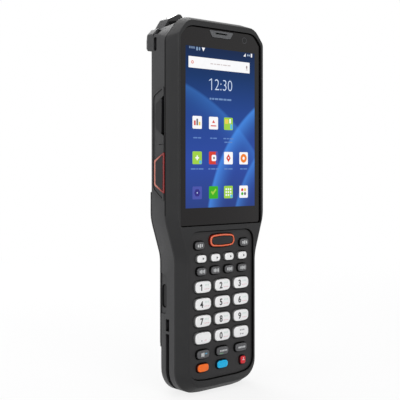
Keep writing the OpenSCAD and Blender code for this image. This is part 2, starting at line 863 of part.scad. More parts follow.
module release_holes() {
    both_x() {
        side_slab(0, grip_hw + over)
            polygon(release_outline(0));
        side_slab(grip_hw - scoop_depth, grip_hw + over)
            polygon(rounded([
                [release_d - 2.5, release_z - 9.6, 2.2],
                [side_depth + over, release_z - 9.6, 0.1],
                [side_depth + over, release_z + 13, 0.1],
                [release_d - 2.5, release_z + 10.5, 2.2]]));
    }
}

release_travel = 1.2;
module battery_release() {
    color(charcoal)
        side_slab(battery_w / 2 + slide_gap + 0.05, grip_hw - scoop_depth - 0.6)
            polygon(release_outline(slide_gap));
}

speaker_z = battery_top + 22;
module speaker_slots() {
    for (i = [-2:2])
        block([-7, body_depth - wall - over, speaker_z + i * 2.4 - 0.5],
            [7, body_depth + over, speaker_z + i * 2.4 + 0.5]);
}

module loudspeaker() {
    color("dimgray")
        block([-9, body_depth - wall - 4.2, speaker_z - 7], [9, body_depth - wall, speaker_z + 7]);
}

rear_camera_z = head_foot - 12;
module rear_camera_body(gap) {
    translate([0, front_y + body_depth - 7, rear_camera_z])
        rotate([-90, 0, 0])
        cylinder(h = 7.6, r = 4.5 + gap);
}

module rear_camera() {
    color(black)
        difference() {
            rear_camera_body(0);
            translate([0, front_y + body_depth, rear_camera_z])
                rotate([-90, 0, 0])
                cylinder(h = over, r = 3.2);
        }
}

contact_mid = 13;
module contact_recess() {
    block([-8, contact_mid - 2, -over], [8, contact_mid + 2, 1.2]);
    for (i = [-2:2])
        translate([i * 3, front_y + contact_mid, 0])
            cylinder(h = 8, r = 0.9);
}

module charging_contacts() {
    color("gold")
        for (i = [-2:2])
            translate([i * 3, front_y + contact_mid, 0.6])
                cylinder(h = 7.4, r = 0.9);
}

module housing_gasket() {
    color(black)
        slab(bevel_depth, rear_d)
            difference() {
                polygon(body_outline(gasket_inset));
                polygon(body_outline(wall + 0.2));
            }
}

module housing_screws() {
    color(silver)
        for (p = concat(FRONT_SCREWS, BOARD_SCREWS))
            translate([p.x, front_y, p.y])
                rotate([-90, 0, 0]) {
                    translate([0, 0, board_d])
                        cylinder(h = screw_seat_d - board_d, r = screw_r);
                    translate([0, 0, screw_seat_d])
                        cylinder(h = screw_head_t, r = screw_head_r);
                }
}

// ---- Battery ----

module battery_pack() {
    gap = 0.3;
    color(charcoal)
        difference() {
            union() {
                between(battery_foot + gap, battery_top - gap)
                    trimmed_loft([for (e = [-0.4, 0.4, back_bevel - 2.2, back_bevel - 0.6, back_bevel + 2.6])
                            body_outline(e)],
                        [side_depth - 0.5, side_depth + 1.1, battery_depth - 2.9, battery_depth - 0.7,
                            battery_depth + 0.7],
                        side_depth + gap, battery_depth);
                block([-battery_w / 2, bay_d + gap, battery_foot + block_end],
                    [battery_w / 2, side_depth + 2, battery_top - block_end]);
            }
            both_x()
                block([battery_w / 2 - release_travel - 0.6, 0, release_z - release_h / 2 - 0.6],
                    [battery_w, release_d + release_w / 2 + 0.4, release_z + release_h / 2 + 0.6]);
            for (i = [-3:3])
                block([-14, battery_depth - 0.6, battery_foot + 8 + (i + 3) * 2.2],
                    [14, battery_depth + over, battery_foot + 9 + (i + 3) * 2.2]);
        }
}

// Four blades from the main board, through the bay's floor, to the battery
module battery_contact_pins() {
    for (i = [-1.5:1.5])
        block([i * 4 - 0.8, board_d + board_t, battery_top - block_end - 8],
            [i * 4 + 0.8, bay_d + 0.15, battery_top - block_end - 3]);
}

module battery_contacts() {
    color("gold")
        battery_contact_pins();
}

// ---- Side keys ----

module side_scan_ring() {
    color(orange)
        side_slab(body_hw - side_wall, body_hw + rib_proud)
            difference() {
                polygon(side_key_outline(side_ring_w));
                polygon(side_key_outline(slide_gap));
            }
}

side_foot = body_hw - side_wall - side_flange_gap;
module side_scan_key() {
    color(black) {
        side_slab(side_foot, body_hw + side_proud)
            polygon(side_key_outline(0));
        side_slab(side_foot - side_flange_t, side_foot)
            polygon(side_key_outline(side_flange));
    }
}

// The volume key rocks, and its flange closes the slot in front of it
module volume_key() {
    color(black) {
        side_slab(side_foot, body_hw + side_proud)
            polygon(volume_outline(side_seam + volume_shade, 0));
        side_slab(side_foot - side_flange_t, side_foot)
            polygon(volume_outline(slot_d + slide_gap, side_flange));
    }
}

for (i = [0:len(KEYS) - 1])
    keypad_key(KEYS[i]);
front_housing();
rear_housing();
housing_gasket();
cover_glass();
display_module();
earpiece_grille();
front_camera();
keypad_panel();
keypad_membrane();
main_board();
scan_key_ring();
mirror([1, 0, 0]) side_scan_ring();  // side_scan_ring_left
side_scan_ring();  // side_scan_ring_right
mirror([1, 0, 0]) side_scan_key();  // side_scan_key_left
side_scan_key();  // side_scan_key_right
mirror([1, 0, 0]) volume_key();
port_cover();
port_cover_pin();
port_socket();
scan_hood();
scan_window();
scan_engine();
rear_camera();
loudspeaker();
battery_pack();
mirror([1, 0, 0]) battery_release();  // battery_release_left
battery_release();  // battery_release_right
battery_contacts();
charging_contacts();
housing_screws();
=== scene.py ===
"""Looks of the handheld data terminal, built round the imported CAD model. Units are metres."""
import json
import math

import bmesh
import bpy
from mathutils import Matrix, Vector
from mathutils.bvhtree import BVHTree

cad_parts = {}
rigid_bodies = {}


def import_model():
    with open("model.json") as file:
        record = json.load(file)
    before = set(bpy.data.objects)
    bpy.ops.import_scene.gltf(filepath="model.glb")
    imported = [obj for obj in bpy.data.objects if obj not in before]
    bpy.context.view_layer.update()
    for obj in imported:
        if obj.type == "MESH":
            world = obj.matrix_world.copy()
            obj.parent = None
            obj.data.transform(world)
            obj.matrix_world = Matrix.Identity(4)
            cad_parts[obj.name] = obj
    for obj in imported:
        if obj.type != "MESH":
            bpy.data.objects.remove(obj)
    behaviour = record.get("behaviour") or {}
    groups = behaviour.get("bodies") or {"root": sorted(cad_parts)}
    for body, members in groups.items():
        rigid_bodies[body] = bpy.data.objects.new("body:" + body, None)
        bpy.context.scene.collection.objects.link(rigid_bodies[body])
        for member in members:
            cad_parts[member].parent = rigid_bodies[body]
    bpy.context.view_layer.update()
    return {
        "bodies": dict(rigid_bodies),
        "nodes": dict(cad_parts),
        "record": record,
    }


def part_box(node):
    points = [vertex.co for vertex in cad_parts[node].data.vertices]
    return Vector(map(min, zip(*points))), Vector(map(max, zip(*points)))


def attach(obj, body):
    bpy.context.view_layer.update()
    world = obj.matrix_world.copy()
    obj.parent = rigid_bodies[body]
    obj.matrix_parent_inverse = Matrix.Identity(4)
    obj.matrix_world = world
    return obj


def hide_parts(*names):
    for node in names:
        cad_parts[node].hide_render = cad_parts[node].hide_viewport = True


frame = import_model()
MM = 0.001
FRONT = -0.01455          # the front rim's place along Y
SHARP = 32                # degrees of bend above which an edge is shaded sharp, or bevelled
LEVEL = 0.6               # degrees of bend below which faces are joined before bevelling
WELD = 2e-6               # metres within which two vertices are one
KEYS = [b for b in frame["bodies"] if "key" in b and not b.startswith(("side_", "volume"))]


def lin(r, g, b, a=1.0):
    """An sRGB colour, 0 to 255, as linear light."""
    def one(c):
        c /= 255
        return c / 12.92 if c <= 0.04045 else ((c + 0.055) / 1.055) ** 2.4
    return (one(r), one(g), one(b), a)


# ---- shader nodes ----

def new_material(name):
    """A material with its nodes, its links and its main shader."""
    m = bpy.data.materials.new(name)
    m.use_nodes = True
    nodes, links = m.node_tree.nodes, m.node_tree.links
    return m, nodes, links, nodes["Principled BSDF"]


def noise(nodes, links, coords, scale, detail=4.0, rough=0.55):
    """A cloudy pattern."""
    n = nodes.new("ShaderNodeTexNoise")
    n.inputs["Scale"].default_value = scale
    n.inputs["Detail"].default_value = detail
    n.inputs["Roughness"].default_value = rough
    links.new(coords, n.inputs["Vector"])
    return n.outputs["Fac"]


def ramp(nodes, links, source, stops):
    """Colours, or equal triples, by the source's value."""
    r = nodes.new("ShaderNodeValToRGB")
    elements = r.color_ramp.elements
    while len(elements) < len(stops):
        elements.new(0.5)
    for e, (at, colour) in zip(elements, stops):
        e.position = at
        e.color = colour if len(colour) == 4 else (*colour, 1)
    links.new(source, r.inputs["Fac"])
    return r.outputs["Color"]


def set_or_link(links, socket, value):
    """Gives a socket a constant, or the output of another node."""
    if isinstance(value, bpy.types.NodeSocket):
        links.new(value, socket)
    else:
        socket.default_value = value


def mixed(nodes, links, a, b, share, blend="MIX"):
    """Two colours mixed."""
    n = nodes.new("ShaderNodeMix")
    n.data_type = "RGBA"
    n.blend_type = blend
    for name, value in (("A", a), ("B", b), ("Factor", share)):
        set_or_link(links, n.inputs[name], value)
    return n.outputs["Result"]


def spread(nodes, links, value, low, high, to=(0, 1), shape="LINEAR"):
    """How far a value has come from low to high, as a number between the two in to."""
    n = nodes.new("ShaderNodeMapRange")
    n.interpolation_type = shape
    for name, at in zip(("From Min", "From Max", "To Min", "To Max"), (low, high, *to)):
        n.inputs[name].default_value = at
    links.new(value, n.inputs["Value"])
    return n.outputs[0]


def node_math(nodes, links, operation, *values):
    """A maths node's output. Its inputs are sockets or numbers."""
    n = nodes.new("ShaderNodeMath")
    n.operation = operation
    for socket, value in zip(n.inputs, values):
        set_or_link(links, socket, value)
    return n.outputs[0]


def seen_directly(nodes, links):
    """1 for what the camera sees straight, in a reflection or through glass."""
    path = nodes.new("ShaderNodeLightPath")
    seen = node_math(nodes, links, "MAXIMUM", path.outputs["Is Camera Ray"], path.outputs["Is Glossy Ray"])
    return node_math(nodes, links, "MAXIMUM", seen, path.outputs["Is Transmission Ray"])


# ---- materials ----

# Scales of the noise patterns
BLOTCHES, GLOSS_PATCHES, METAL_PATCHES, PRINT_PATCHES, SMEARS = 60, 900, 3000, 700, 90
GLOSS_VARY, METAL_VARY = 0.12, 0.3    # how far roughness wanders on mouldings and on metal, as a share
COAT_ROUGH = 0.12
GRAIN_DEPTH = 0.05 * MM
FLANK_SHADING_SPAN = (-0.12, 0.15)                 # depths over which a key's face turns into its flank colour, which is painted shade
CREVICE_SHADE, CREVICE_SHADE_REACH = 0.85, 2.6    # painted shade: how far, and over what reach, a shell darkens in its recesses
CREVICE_SHADE_OPEN = (0.5, 0.96)            # openness at which that painted shade is darkest, and at which a shell keeps its colour


def uneven_gloss(nodes, links, shader, pattern, low, high, stops=(0.3, 0.7)):
    """Roughness that wanders between low and high."""
    gloss = ramp(nodes, links, pattern, [(at, [rough] * 3) for at, rough in zip(stops, (low, high))])
    links.new(gloss, shader.inputs["Roughness"])


def moulded(name, colour, rough=0.5, grain=4200, bump=0.25, vary=0.12, coat=0.0, specular=0.3, flank_shading=None,
            span=FLANK_SHADING_SPAN, crevice_shade=0.0):
    """Moulded plastic or rubber: fine spark-eroded grain, blotchy gloss and slightly uneven colour.

    The flank colour is painted shade for what lies deeper than a face, over the depths in span, and where it
    is paler, a painted highlight.
    The crevice amount is painted shade: how far the colour darkens where the surface is hemmed in."""
    m, nodes, links, shader = new_material(name)
    coords = nodes.new("ShaderNodeTexCoord").outputs["Object"]
    dark = [c * (1 - vary) for c in colour[:3]]
    light = [min(1, c * (1 + vary)) for c in colour[:3]]
    tone = ramp(nodes, links, noise(nodes, links, coords, BLOTCHES, 5), [(0.3, dark), (0.7, light)])
    # painted shade on what lies deeper, such as a key's sides; a paler flank colour is a painted highlight
    if flank_shading:
        place = nodes.new("ShaderNodeSeparateXYZ")
        links.new(coords, place.inputs[0])
        deep = spread(nodes, links, place.outputs["Y"], *[FRONT + d * MM for d in span])
        tone = mixed(nodes, links, tone, flank_shading, deep)
    # painted shade in recesses, from ambient occlusion
    elif crevice_shade:
        occlusion = nodes.new("ShaderNodeAmbientOcclusion")
        occlusion.samples = 8
        occlusion.inputs["Distance"].default_value = CREVICE_SHADE_REACH * MM
        shades = zip(CREVICE_SHADE_OPEN, ([1 - crevice_shade] * 3, [1, 1, 1]))
        shade = ramp(nodes, links, occlusion.outputs["AO"], list(shades))
        tone = mixed(nodes, links, tone, shade, 1.0, "MULTIPLY")
    links.new(tone, shader.inputs["Base Color"])
    patches = noise(nodes, links, coords, GLOSS_PATCHES, 3)
    uneven_gloss(nodes, links, shader, patches, rough * (1 - GLOSS_VARY), min(1, rough * (1 + GLOSS_VARY)))
    if bump:
        cells = nodes.new("ShaderNodeTexVoronoi")
        cells.feature = "SMOOTH_F1"
        cells.inputs["Scale"].default_value = grain
        links.new(coords, cells.inputs["Vector"])
        relief = nodes.new("ShaderNodeBump")
        relief.inputs["Strength"].default_value = bump
        relief.inputs["Distance"].default_value = GRAIN_DEPTH
        links.new(cells.outputs["Distance"], relief.inputs["Height"])
        links.new(relief.outputs["Normal"], shader.inputs["Normal"])
    shader.inputs["Specular IOR Level"].default_value = specular
    if coat:
        shader.inputs["Coat Weight"].default_value = coat
        shader.inputs["Coat Roughness"].default_value = COAT_ROUGH
    return m


def metal(name, colour, rough=0.3):
    """Bare or blackened metal with fine patches of gloss."""
    m, nodes, links, shader = new_material(name)
    coords = nodes.new("ShaderNodeTexCoord").outputs["Object"]
    patches = noise(nodes, links, coords, METAL_PATCHES, 3)
    uneven_gloss(nodes, links, shader, patches, rough * (1 - METAL_VARY), rough * (1 + METAL_VARY))
    shader.inputs["Base Color"].default_value = colour
    shader.inputs["Metallic"].default_value = 1.0
    return m


def printed(name, colour, glow=0.0, rough=0.3, specular=0.3):
    """A printed mark, or with a glow, a lit part of the screen."""
    m, nodes, links, shader = new_material(name)
    coords = nodes.new("ShaderNodeTexCoord").outputs["Object"]
    shades = [[c * k for c in colour[:3]] for k in (0.97, 1.0)]
    tone = ramp(nodes, links, noise(nodes, links, coords, PRINT_PATCHES, 2), list(zip((0.35, 0.6), shades)))
    if glow:
        shader.inputs["Base Color"].default_value = (0, 0, 0, 1)
        links.new(tone, shader.inputs["Emission Color"])
        shader.inputs["Emission Strength"].default_value = glow
    else:
        links.new(tone, shader.inputs["Base Color"])
    shader.inputs["Roughness"].default_value = rough
    shader.inputs["Specular IOR Level"].default_value = specular
    return m


def glass_black(name):
    """Cover glass over black print: a clear gloss on near black, with faint smears."""
    m, nodes, links, shader = new_material(name)
    coords = nodes.new("ShaderNodeTexCoord").outputs["Object"]
    smears = noise(nodes, links, coords, SMEARS, 6, 0.6)
    uneven_gloss(nodes, links, shader, smears, 0.05, 0.13, (0.35, 0.75))
    shader.inputs["Base Color"].default_value = lin(13, 9, 10)
    shader.inputs["Specular IOR Level"].default_value = 0.3
    return m


MATS = {
    # the shells and the keypad plate are darkened in their recesses: painted shade
    "shell_dark": moulded("shell_dark", lin(31, 31, 32), 0.44, crevice_shade=CREVICE_SHADE),
    "shell_grey": moulded("shell_grey", lin(58, 58, 59), 0.46, crevice_shade=CREVICE_SHADE),
    "battery": moulded("battery_shell", lin(48, 48, 49), 0.48),
    "panel": moulded("keypad_plate", lin(38, 37, 38), 0.5, crevice_shade=CREVICE_SHADE),
    "seal": moulded("black_rubber", lin(10, 10, 11), 0.7, bump=0.15, specular=0.1),
    "cover_glass": glass_black("cover_glass_black"),
    "display": moulded("display_frame", lin(30, 36, 60), 0.3, bump=0),
    "grille": moulded("earpiece_plastic", lin(92, 93, 95), 0.35, bump=0.1),
    "black_gloss": moulded("gloss_black", lin(14, 14, 15), 0.16, bump=0, specular=0.5),
    "board": moulded("solder_mask", lin(20, 74, 40), 0.3, bump=0),
    "engine": moulded("engine_plastic", lin(40, 40, 42), 0.5),
    # the flank colours of the orange ring and of the keys below are painted shade on their sides
    "orange_frame": moulded("orange_gloss", lin(234, 104, 62), 0.22, bump=0, vary=0.06, coat=0.5,
                            flank_shading=lin(120, 26, 14)),
    "red_window": moulded("red_window", lin(70, 8, 14), 0.08, bump=0, coat=0.8, specular=0.5),
    "steel": metal("steel", (0.6, 0.6, 0.62, 1)),
    "contact": metal("gold_plate", (0.9, 0.68, 0.3, 1), 0.2),
    "key_black": moulded("key_black", lin(26, 26, 28), 0.4, bump=0.15),
    "key_white": moulded("key_white", lin(245, 245, 245), 0.4, bump=0.04, vary=0.02,
                         flank_shading=lin(120, 120, 120)),
    "key_grey": moulded("key_grey", lin(88, 88, 90), 0.4, bump=0.08, vary=0.05, flank_shading=lin(16, 16, 17)),
    "key_orange": moulded("key_orange", lin(255, 112, 20), 0.34, bump=0.04, vary=0.04, coat=0.15,
                          flank_shading=lin(70, 20, 8)),
    "key_blue": moulded("key_blue", lin(0, 184, 238), 0.34, bump=0.04, vary=0.04, coat=0.05,
                        flank_shading=lin(6, 40, 56)),
    "key_red": moulded("key_red", lin(216, 26, 40), 0.34, bump=0.04, vary=0.04, coat=0.15,
                       flank_shading=lin(60, 8, 12)),
}

# Materials of single nodes, in the place of their slot's own
# the side rings are the front ring's orange moulding: their dark red is painted shade, and the pale pink on
# their deeper part a painted highlight
SIDE_RING_PAINTED_LIGHT = moulded("orange_gloss_side", lin(132, 36, 36), 0.25, bump=0, vary=0.06, coat=0.4,
                    flank_shading=lin(206, 128, 112), span=(8.8, 13.5))
OWN = {"side_scan_ring_left": SIDE_RING_PAINTED_LIGHT, "side_scan_ring_right": SIDE_RING_PAINTED_LIGHT,
       "port_cover": moulded("cover_rubber", lin(24, 24, 25), 0.6, bump=0.15, specular=0.2),
       "port_cover_pin": metal("black_steel", (0.1, 0.1, 0.11, 1), 0.35)}

slot_of = {s["node"]: s["material_slot"] for s in frame["record"]["subparts"]}


def paint(o, material):
    """Gives an object one material."""
    o.data.materials.clear()
    o.data.materials.append(material)


# ---- even shading and softened edges for the CAD meshes ----

def geometry_group(name):
    """A geometry node group, its nodes and links, and the sockets where its mesh comes in and goes out."""
    g = bpy.data.node_groups.new(name, "GeometryNodeTree")
    for way in ("INPUT", "OUTPUT"):
        g.interface.new_socket("Geometry", in_out=way, socket_type="NodeSocketGeometry")
    mesh_in, mesh_out = g.nodes.new("NodeGroupInput"), g.nodes.new("NodeGroupOutput")
    return g, g.nodes, g.links, mesh_in.outputs[0], mesh_out.inputs[0]


def shading_group(angle):
    """Welds the faces of a CAD mesh and shades it smooth, except over edges sharper than angle."""
    g, nodes, links, mesh_in, mesh_out = geometry_group("even_shading")
    weld = nodes.new("GeometryNodeMergeByDistance")
    weld.inputs["Distance"].default_value = WELD
    bare = nodes.new("GeometryNodeRemoveAttribute")
    bare.inputs["Name"].default_value = "custom_normal"
    smooth = nodes.new("GeometryNodeSetShadeSmooth")
    smooth.domain = "FACE"
    sharp = nodes.new("GeometryNodeSetShadeSmooth")
    sharp.domain = "EDGE"
    sharp.inputs["Shade Smooth"].default_value = False
    edge = nodes.new("GeometryNodeInputMeshEdgeAngle")
    over = nodes.new("FunctionNodeCompare")
    over.data_type = "FLOAT"
    over.operation = "GREATER_THAN"
    over.inputs[1].default_value = math.radians(angle)
    links.new(mesh_in, bare.inputs[0])
    links.new(bare.outputs[0], weld.inputs[0])
    links.new(weld.outputs[0], smooth.inputs[0])
    links.new(smooth.outputs[0], sharp.inputs[0])
    links.new(edge.outputs["Unsigned Angle"], over.inputs[0])
    links.new(over.outputs[0], sharp.inputs["Selection"])
    links.new(sharp.outputs[0], mesh_out)
    return g


def edges_beyond(angle, depth, corners, ease):
    """Marks for bevelling the edges sharper than angle that lie deeper than depth, and moves the two corners,
    on both sides of the middle plane, forward by ease."""
    g, nodes, links, mesh_in, mesh_out = geometry_group("edge_choice")
    position = nodes.new("GeometryNodeInputPosition").outputs[0]
    bend = nodes.new("GeometryNodeInputMeshEdgeAngle").outputs["Unsigned Angle"]
    place = nodes.new("ShaderNodeSeparateXYZ")
    links.new(position, place.inputs[0])
    store = nodes.new("GeometryNodeStoreNamedAttribute")
    store.data_type = "FLOAT"
    store.domain = "EDGE"
    store.inputs["Name"].default_value = "bevel_weight_edge"
    bent = node_math(nodes, links, "GREATER_THAN", bend, math.radians(angle))
    deep = node_math(nodes, links, "GREATER_THAN", place.outputs["Y"], depth)
    links.new(node_math(nodes, links, "MULTIPLY", bent, deep), store.inputs["Value"])
    beside = nodes.new("ShaderNodeVectorMath")
    beside.operation = "ABSOLUTE"
    links.new(position, beside.inputs[0])
    near = []
    for corner in corners:
        gap = nodes.new("ShaderNodeVectorMath")
        gap.operation = "DISTANCE"
        gap.inputs[1].default_value = corner
        links.new(beside.outputs[0], gap.inputs[0])
        near.append(node_math(nodes, links, "LESS_THAN", gap.outputs["Value"], CORNER_NEAR * MM))
    moved = nodes.new("GeometryNodeSetPosition")
    moved.inputs["Offset"].default_value = (0, -ease, 0)
    links.new(node_math(nodes, links, "MAXIMUM", *near), moved.inputs["Selection"])
    links.new(mesh_in, store.inputs["Geometry"])
    links.new(store.outputs[0], moved.inputs["Geometry"])
    links.new(moved.outputs[0], mesh_out)
    return g


SHADE = shading_group(SHARP)
COVER_D = 18.2                          # depth where the battery's cover meets the block inside it
COVER_IN = 0.2                          # the cover's edges lie deeper than that by this much or more
NOTCH_X, NOTCH_ENDS = 20, (46.1, 60.1)  # the block's notches for the two releases end at that same depth
CORNER_NEAR, CORNER_EASE = 0.05, 0.02   # so their corners are found within, and eased by, these
BATTERY_COVER = edges_beyond(SHARP, FRONT + (COVER_D + COVER_IN) * MM,
                             [(NOTCH_X * MM, FRONT + COVER_D * MM, z * MM) for z in NOTCH_ENDS],
                             CORNER_EASE * MM)


def soften(o, width, clamp=False, choice=None):
    """Even shading, and fillets of one width on the sharp edges, or on those that choice marks."""
    o.modifiers.new("weld", "NODES").node_group = SHADE
    if width:
        flat = o.modifiers.new("flat", "DECIMATE")
        flat.decimate_type = "DISSOLVE"
        flat.angle_limit = math.radians(LEVEL)
        if choice:
            o.modifiers.new("choice", "NODES").node_group = choice
        bevel = o.modifiers.new("edges", "BEVEL")
        bevel.width = width
        bevel.segments = 2
        bevel.limit_method = "WEIGHT" if choice else "ANGLE"
        bevel.angle_limit = math.radians(SHARP)
        bevel.use_clamp_overlap = clamp
        o.modifiers.new("shade", "NODES").node_group = SHADE


# Widths of the fillets, in millimetres
WIDTHS = {"front_housing": 0.3, "rear_housing": 0.3, "battery_pack": 0.3, "keypad_panel": 0.4,
          "scan_hood": 0.25, "side_scan_key_left": 0.25, "side_scan_key_right": 0.25, "volume_key": 0.25,
          "port_cover": 0.2, "battery_release_left": 0.2, "battery_release_right": 0.2,
          "cover_glass": 0.15, "rear_camera": 0.15, "earpiece_grille": 0.12}
OPEN_BEVEL = ("keypad_panel", "battery_pack")     # their bevels need no clamp
for node_name, o in frame["nodes"].items():
    paint(o, OWN.get(node_name, MATS[slot_of[node_name]]))
    soften(o, WIDTHS.get(node_name, 0) * MM, clamp=node_name not in OPEN_BEVEL,
           choice=BATTERY_COVER if node_name == "battery_pack" else None)


# ---- outlines in x and z, in millimetres ----

def filleted(corners):
    """Outline with rounded corners given as (x, z, radius, steps)."""
    out, n = [], len(corners)
    for i, (x, z, r, steps) in enumerate(corners):
        at = Vector((x, z))
        a = (Vector(corners[i - 1][:2]) - at).normalized()
        b = (Vector(corners[(i + 1) % n][:2]) - at).normalized()
        half = math.acos(max(-1, min(1, a.dot(b)))) / 2
        centre = at + (a + b).normalized() * (r / math.sin(half))
        start = at + a * (r / math.tan(half)) - centre
        turn = math.copysign(math.pi - 2 * half, a.x * b.y - a.y * b.x) * -1
        for k in range(steps + 1):
            t = turn * k / steps
            c, s = math.cos(t), math.sin(t)
            out.append((centre.x + start.x * c - start.y * s, centre.y + start.x * s + start.y * c))
    return out


LEAST_ROUND, LEAST_RUN = 0.01, 0.001   # the smallest corner radius, and the straight run left beside a corner


def rounded(x, z, w, h, r, steps):
    """A rectangle with rounded corners, centred on x, z."""
    r = max(LEAST_ROUND, min(r, w / 2 - LEAST_RUN, h / 2 - LEAST_RUN))
    a, b = w / 2, h / 2
    return filleted([(x + a, z - b, r, steps), (x + a, z + b, r, steps), (x - a, z + b, r, steps),
                     (x - a, z - b, r, steps)])


BOW_SHARE, BOW_ROUND = 0.04, 2.8   # rise and radius of a key's bowed edges, as shares of its width
BOW_CUT = 0.018                    # what rounding off both bows takes from a key's height, as such a share
CORNER_SHRINK = 0.6                # how fast a key's corners tighten as its outline shrinks


def barrel(x, z, w, h, r, e):
    """A key's outline shrunk by e, its upper and lower edges bowed outwards."""
    w, top = w - 2 * e, h / 2 - e
    a, b = w / 2, top - BOW_SHARE * w
    r = min(r - CORNER_SHRINK * e, b - LEAST_ROUND)
    bow = BOW_ROUND * w
    return filleted([(x, z - top, bow, 6), (x + a, z - b, r, 8), (x + a, z + b, r, 8), (x, z + top, bow, 6),
                     (x - a, z + b, r, 8), (x - a, z - b, r, 8)])


# ---- meshes ----

def placed(name, mesh, material, body):
    """An object of one material that rides on a body."""
    o = bpy.data.objects.new(name, mesh)
    bpy.context.scene.collection.objects.link(o)
    mesh.materials.append(material)
    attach(o, body)
    return o


def piece(name, verts, faces, material, body="housing", smooth=True):
    """A closed mesh with its faces turned outwards."""
    mesh = bpy.data.meshes.new(name)
    mesh.from_pydata(verts, [], faces)
    mesh.validate()
    bm = bmesh.new()
    bm.from_mesh(mesh)
    bmesh.ops.recalc_face_normals(bm, faces=bm.faces)
    bm.to_mesh(mesh)
    bm.free()
    for p in mesh.polygons:
        p.use_smooth = smooth
    return placed(name, mesh, material, body)


def lofted(rings):
    """Vertices and faces of a closed loft. A ring is its points in x and z and its depth, in millimetres."""
    verts, faces, n = [], [], len(rings[0][0])
    for points, depth in rings:
        verts += [(x * MM, FRONT + depth * MM, z * MM) for x, z in points]
    for k in range(len(rings) - 1):
        for i in range(n):
            j = (i + 1) % n
            faces.append((k * n + i, k * n + j, (k + 1) * n + j, (k + 1) * n + i))
    faces.append(tuple(range(n))[::-1])
    faces.append(tuple((len(rings) - 1) * n + i for i in range(n)))
    return verts, faces


# ---- the seam between the two housings ----

SEAM_D, SEAM_HALF = 6.5, 0.35      # depth of the seam's middle, and half its width
SEAM_BEFORE = 0.25                 # how far in front of the middle the housing's outline is taken
LIP_PROUD, LIP_DEEP = 0.02, 0.4    # how far the lip stands out of that outline and reaches into it
LIP_FROM = 96.0                    # height above which the seam shows


def enclosed(loop):
    """Area inside a closed line of points, positive where it runs anticlockwise."""
    return sum(a[0] * b[1] - b[0] * a[1] for a, b in zip(loop, loop[1:] + loop[:1])) / 2


def outline_of(node, depth):
    """The outer outline of a CAD node at one depth, as points in x and z, in millimetres, anticlockwise."""
    bm = bmesh.new()
    bm.from_mesh(frame["nodes"][node].data)
    bmesh.ops.remove_doubles(bm, verts=bm.verts, dist=WELD)
    cut = bmesh.ops.bisect_plane(bm, geom=bm.verts[:] + bm.edges[:] + bm.faces[:],
                                 plane_co=(0, FRONT + depth * MM, 0), plane_no=(0, 1, 0))
    left = {e for e in cut["geom_cut"] if isinstance(e, bmesh.types.BMEdge)}
    loops = []
    while left:
        e = left.pop()
        walk = [e.verts[0], e.verts[1]]
        while walk[-1] is not walk[0]:
            after = next((k for k in walk[-1].link_edges if k in left), None)
            if not after:
                break
            left.remove(after)
            walk.append(after.other_vert(walk[-1]))
        loops.append([(v.co.x / MM, v.co.z / MM) for v in walk[:-1]])
    bm.free()
    outer = max(loops, key=lambda loop: abs(enclosed(loop)))
    return outer if enclosed(outer) > 0 else outer[::-1]


def gasket_lip_seam_shade():
    """The gasket's dark edge, stood a little proud in the seam round the display part, where it is also
    painted shade for the seam's shadow.
    """
    loop = outline_of("front_housing", SEAM_D - SEAM_BEFORE)
    n = len(loop)
    rows = []
    for i, (x, z) in enumerate(loop):
        ahead, behind = loop[(i + 1) % n], loop[i - 1]
        along = Vector((ahead[0] - behind[0], ahead[1] - behind[1])).normalized()
        out = Vector((along.y, -along.x))
        rows.append([(x + out.x * e, d, z + out.y * e) for e, d in (
            (LIP_PROUD, SEAM_D - SEAM_HALF), (LIP_PROUD, SEAM_D + SEAM_HALF),
            (-LIP_DEEP, SEAM_D + SEAM_HALF), (-LIP_DEEP, SEAM_D - SEAM_HALF))])
    kept = [i for i in range(n) if loop[i][1] > LIP_FROM]
    first = next(i for i in kept if (i - 1) % n not in kept)
    chain = [rows[(first + k) % n] for k in range(len(kept))]
    verts = [(x * MM, FRONT + d * MM, z * MM) for row in chain for x, d, z in row]
    faces = [(4 * k + a, 4 * k + b, 4 * k + 4 + b, 4 * k + 4 + a) for k in range(len(chain) - 1)
             for a, b in ((0, 1), (1, 2), (2, 3), (3, 0))]
    last = 4 * (len(chain) - 1)
    faces += [(0, 1, 2, 3), (last + 3, last + 2, last + 1, last)]
    piece("gasket_lip_seam_shade", verts, faces, MATS["seal"], smooth=False)


gasket_lip_seam_shade()

# ---- keys ----

KEY_TOP, FLANGE = -0.4, 0.45     # depth of a key's top, and how far its foot stands out all round
FOOT, SOLE = 2.7, 3.4            # depths of the foot's upper and lower face
RADIUS = {"key": 2.4, "function": 1.7, "scan": 2.1, "menu": 1.8, "home": 1.8, "back": 1.8, "orange": 1.8,
          "blue": 1.8, "power": 1.1}
OTHER_RADIUS = 1.6
# Rings of a crowned top: how far the outline has shrunk, and how deep the ring lies under the top
DOME = [(0, 1.0), (0.04, 0.74), (0.13, 0.5), (0.28, 0.3), (0.5, 0.16), (0.8, 0.07), (1.15, 0.02), (1.5, 0)]
LOW_KEY, LOW_DOME = 6, 0.8       # a key lower than this has a dome drawn in less, by this share


def key_box(name):
    """Middle, width and height of a key's visible part, from its foot's box."""
    low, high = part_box(name)
    x, z = (low.x + high.x) / 2 / MM, (low.z + high.z) / 2 / MM
    wide, tall = (high.x - low.x) / MM, (high.z - low.z) / MM
    return x, z, wide - 2 * FLANGE, tall - 2 * FLANGE + BOW_CUT * wide


